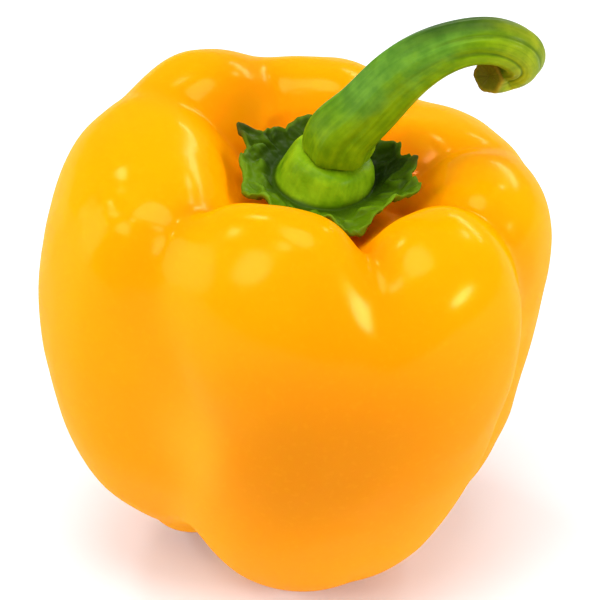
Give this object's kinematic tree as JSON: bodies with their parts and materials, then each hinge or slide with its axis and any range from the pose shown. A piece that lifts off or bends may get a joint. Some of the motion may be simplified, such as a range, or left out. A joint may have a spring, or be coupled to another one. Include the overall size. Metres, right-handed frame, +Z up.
{
  "type": "yellow bell pepper",
  "caption": "Blocky lobed bell pepper standing on its base, with deep furrows, a crinkled calyx cup and a hooked stem.",
  "frame": {"origin": "centre of the bounding box at the surface the pepper stands on", "axes": "+Z up from the base to the stem, -Y the front, +X the side the stem leans and hooks to"},
  "size_m": [0.0872, 0.0826, 0.1111],
  "materials": {
    "skin": "smooth waxy fruit skin, very glossy, yellow turning orange in the furrows",
    "calyx_green": "crinkled leafy green, yellow-green on the collar, dark in the trough",
    "stem_green": "ridged green stem with a faint waxy sheen and a dry brownish cut end"
  },
  "bodies": {
    "root": {"fruit": "skin", "calyx": "calyx_green", "stem": "stem_green"}
  },
  "joints": []
}
